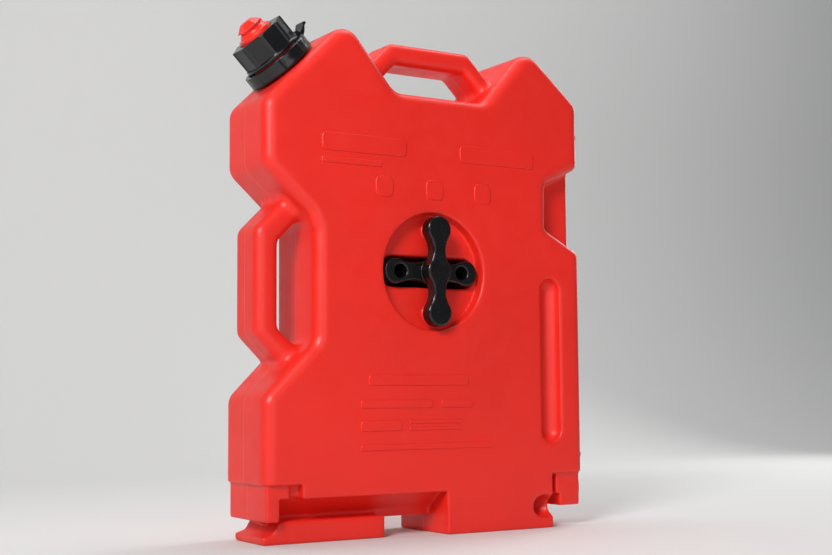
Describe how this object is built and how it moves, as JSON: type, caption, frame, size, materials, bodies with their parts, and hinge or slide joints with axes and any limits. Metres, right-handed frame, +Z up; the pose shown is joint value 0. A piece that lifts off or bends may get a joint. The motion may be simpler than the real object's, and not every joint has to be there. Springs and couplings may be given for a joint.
{
  "type": "flat fuel container on pack mount",
  "caption": "Flat moulded fuel container with side and top grips, screw collar with stored spout, held on a wall mount by a lobed T-handle.",
  "frame": {"origin": "centre of the mount's rear face, where it meets the wall, on the axis of the T-handle", "axes": "+X right seen from the front, +Y into the wall, +Z up"},
  "size_m": [0.3513, 0.0996, 0.464],
  "materials": {
    "red_plastic": "warm red moulded polyethylene, semi-gloss",
    "spout_red": "red moulded plastic",
    "black_metal": "satin black anodised aluminium with bright bevels",
    "black_plastic": "black moulded plastic, satin",
    "steel": "zinc-plated steel",
    "rubber": "black rubber"
  },
  "bodies": {
    "root": {"tank_shell": "red_plastic", "mount_tower": "black_metal", "tower_pad": "rubber", "centre_insert": "steel", "lock_ring": "black_plastic", "lever_pin": "steel"},
    "handle_carrier": {"thrust_washer": "black_plastic"},
    "handle": {"tee_handle": "black_metal", "handle_stud": "steel", "stud_clip": "steel"},
    "spout": {"spout_base": "spout_red", "spout_plug": "spout_red", "plug_oring": "rubber", "spout_tube": "spout_red", "vent_tube": "black_plastic", "valve_stem": "steel", "valve_disc": "black_plastic", "valve_seal": "rubber", "flange_gasket": "rubber", "sleeve_spring": "steel"},
    "collar": {"collar_nut": "black_plastic"},
    "sleeve": {"nozzle_sleeve": "black_plastic"},
    "lever": {"lock_lever": "black_plastic"}
  },
  "joints": [
    {"name": "handle_travel", "type": "slide", "parent": "root", "child": "handle_carrier", "axis": [0, -1, 0], "range_m": [0, 0.00487]},
    {"name": "handle_turn", "type": "hinge", "parent": "handle_carrier", "child": "handle", "pos_m": [0, -0.0934, 0], "axis": [0, -1, 0], "range_deg": [0, 1175]},
    {"name": "cap_travel", "type": "slide", "parent": "root", "child": "spout", "axis": [-0.7071, 0, 0.7071], "range_m": [0, 0.012]},
    {"name": "cap_turn", "type": "hinge", "parent": "spout", "child": "collar", "pos_m": [-0.15149, -0.048, 0.19969], "axis": [-0.7071, 0, 0.7071], "range_deg": [0, 1085]},
    {"name": "sleeve_slide", "type": "slide", "parent": "spout", "child": "sleeve", "axis": [-0.7071, 0, 0.7071], "range_m": [0, 0.0085], "stiffness_N_per_m": 300, "springref_m": -0.005, "deforming": ["sleeve_spring"]},
    {"name": "lever_press", "type": "hinge", "parent": "root", "child": "lever", "pos_m": [-0.11663, -0.048, 0.20768], "axis": [0, 1, 0], "range_deg": [0, 10], "stiffness_Nm_per_rad": 0.3, "springref_deg": -1.15}
  ],
  "couplings": [
    {"joint": "handle_turn", "follows": "handle_travel", "rad_per_m": 4188.8},
    {"joint": "cap_turn", "follows": "cap_travel", "rad_per_m": 1570.8}
  ]
}
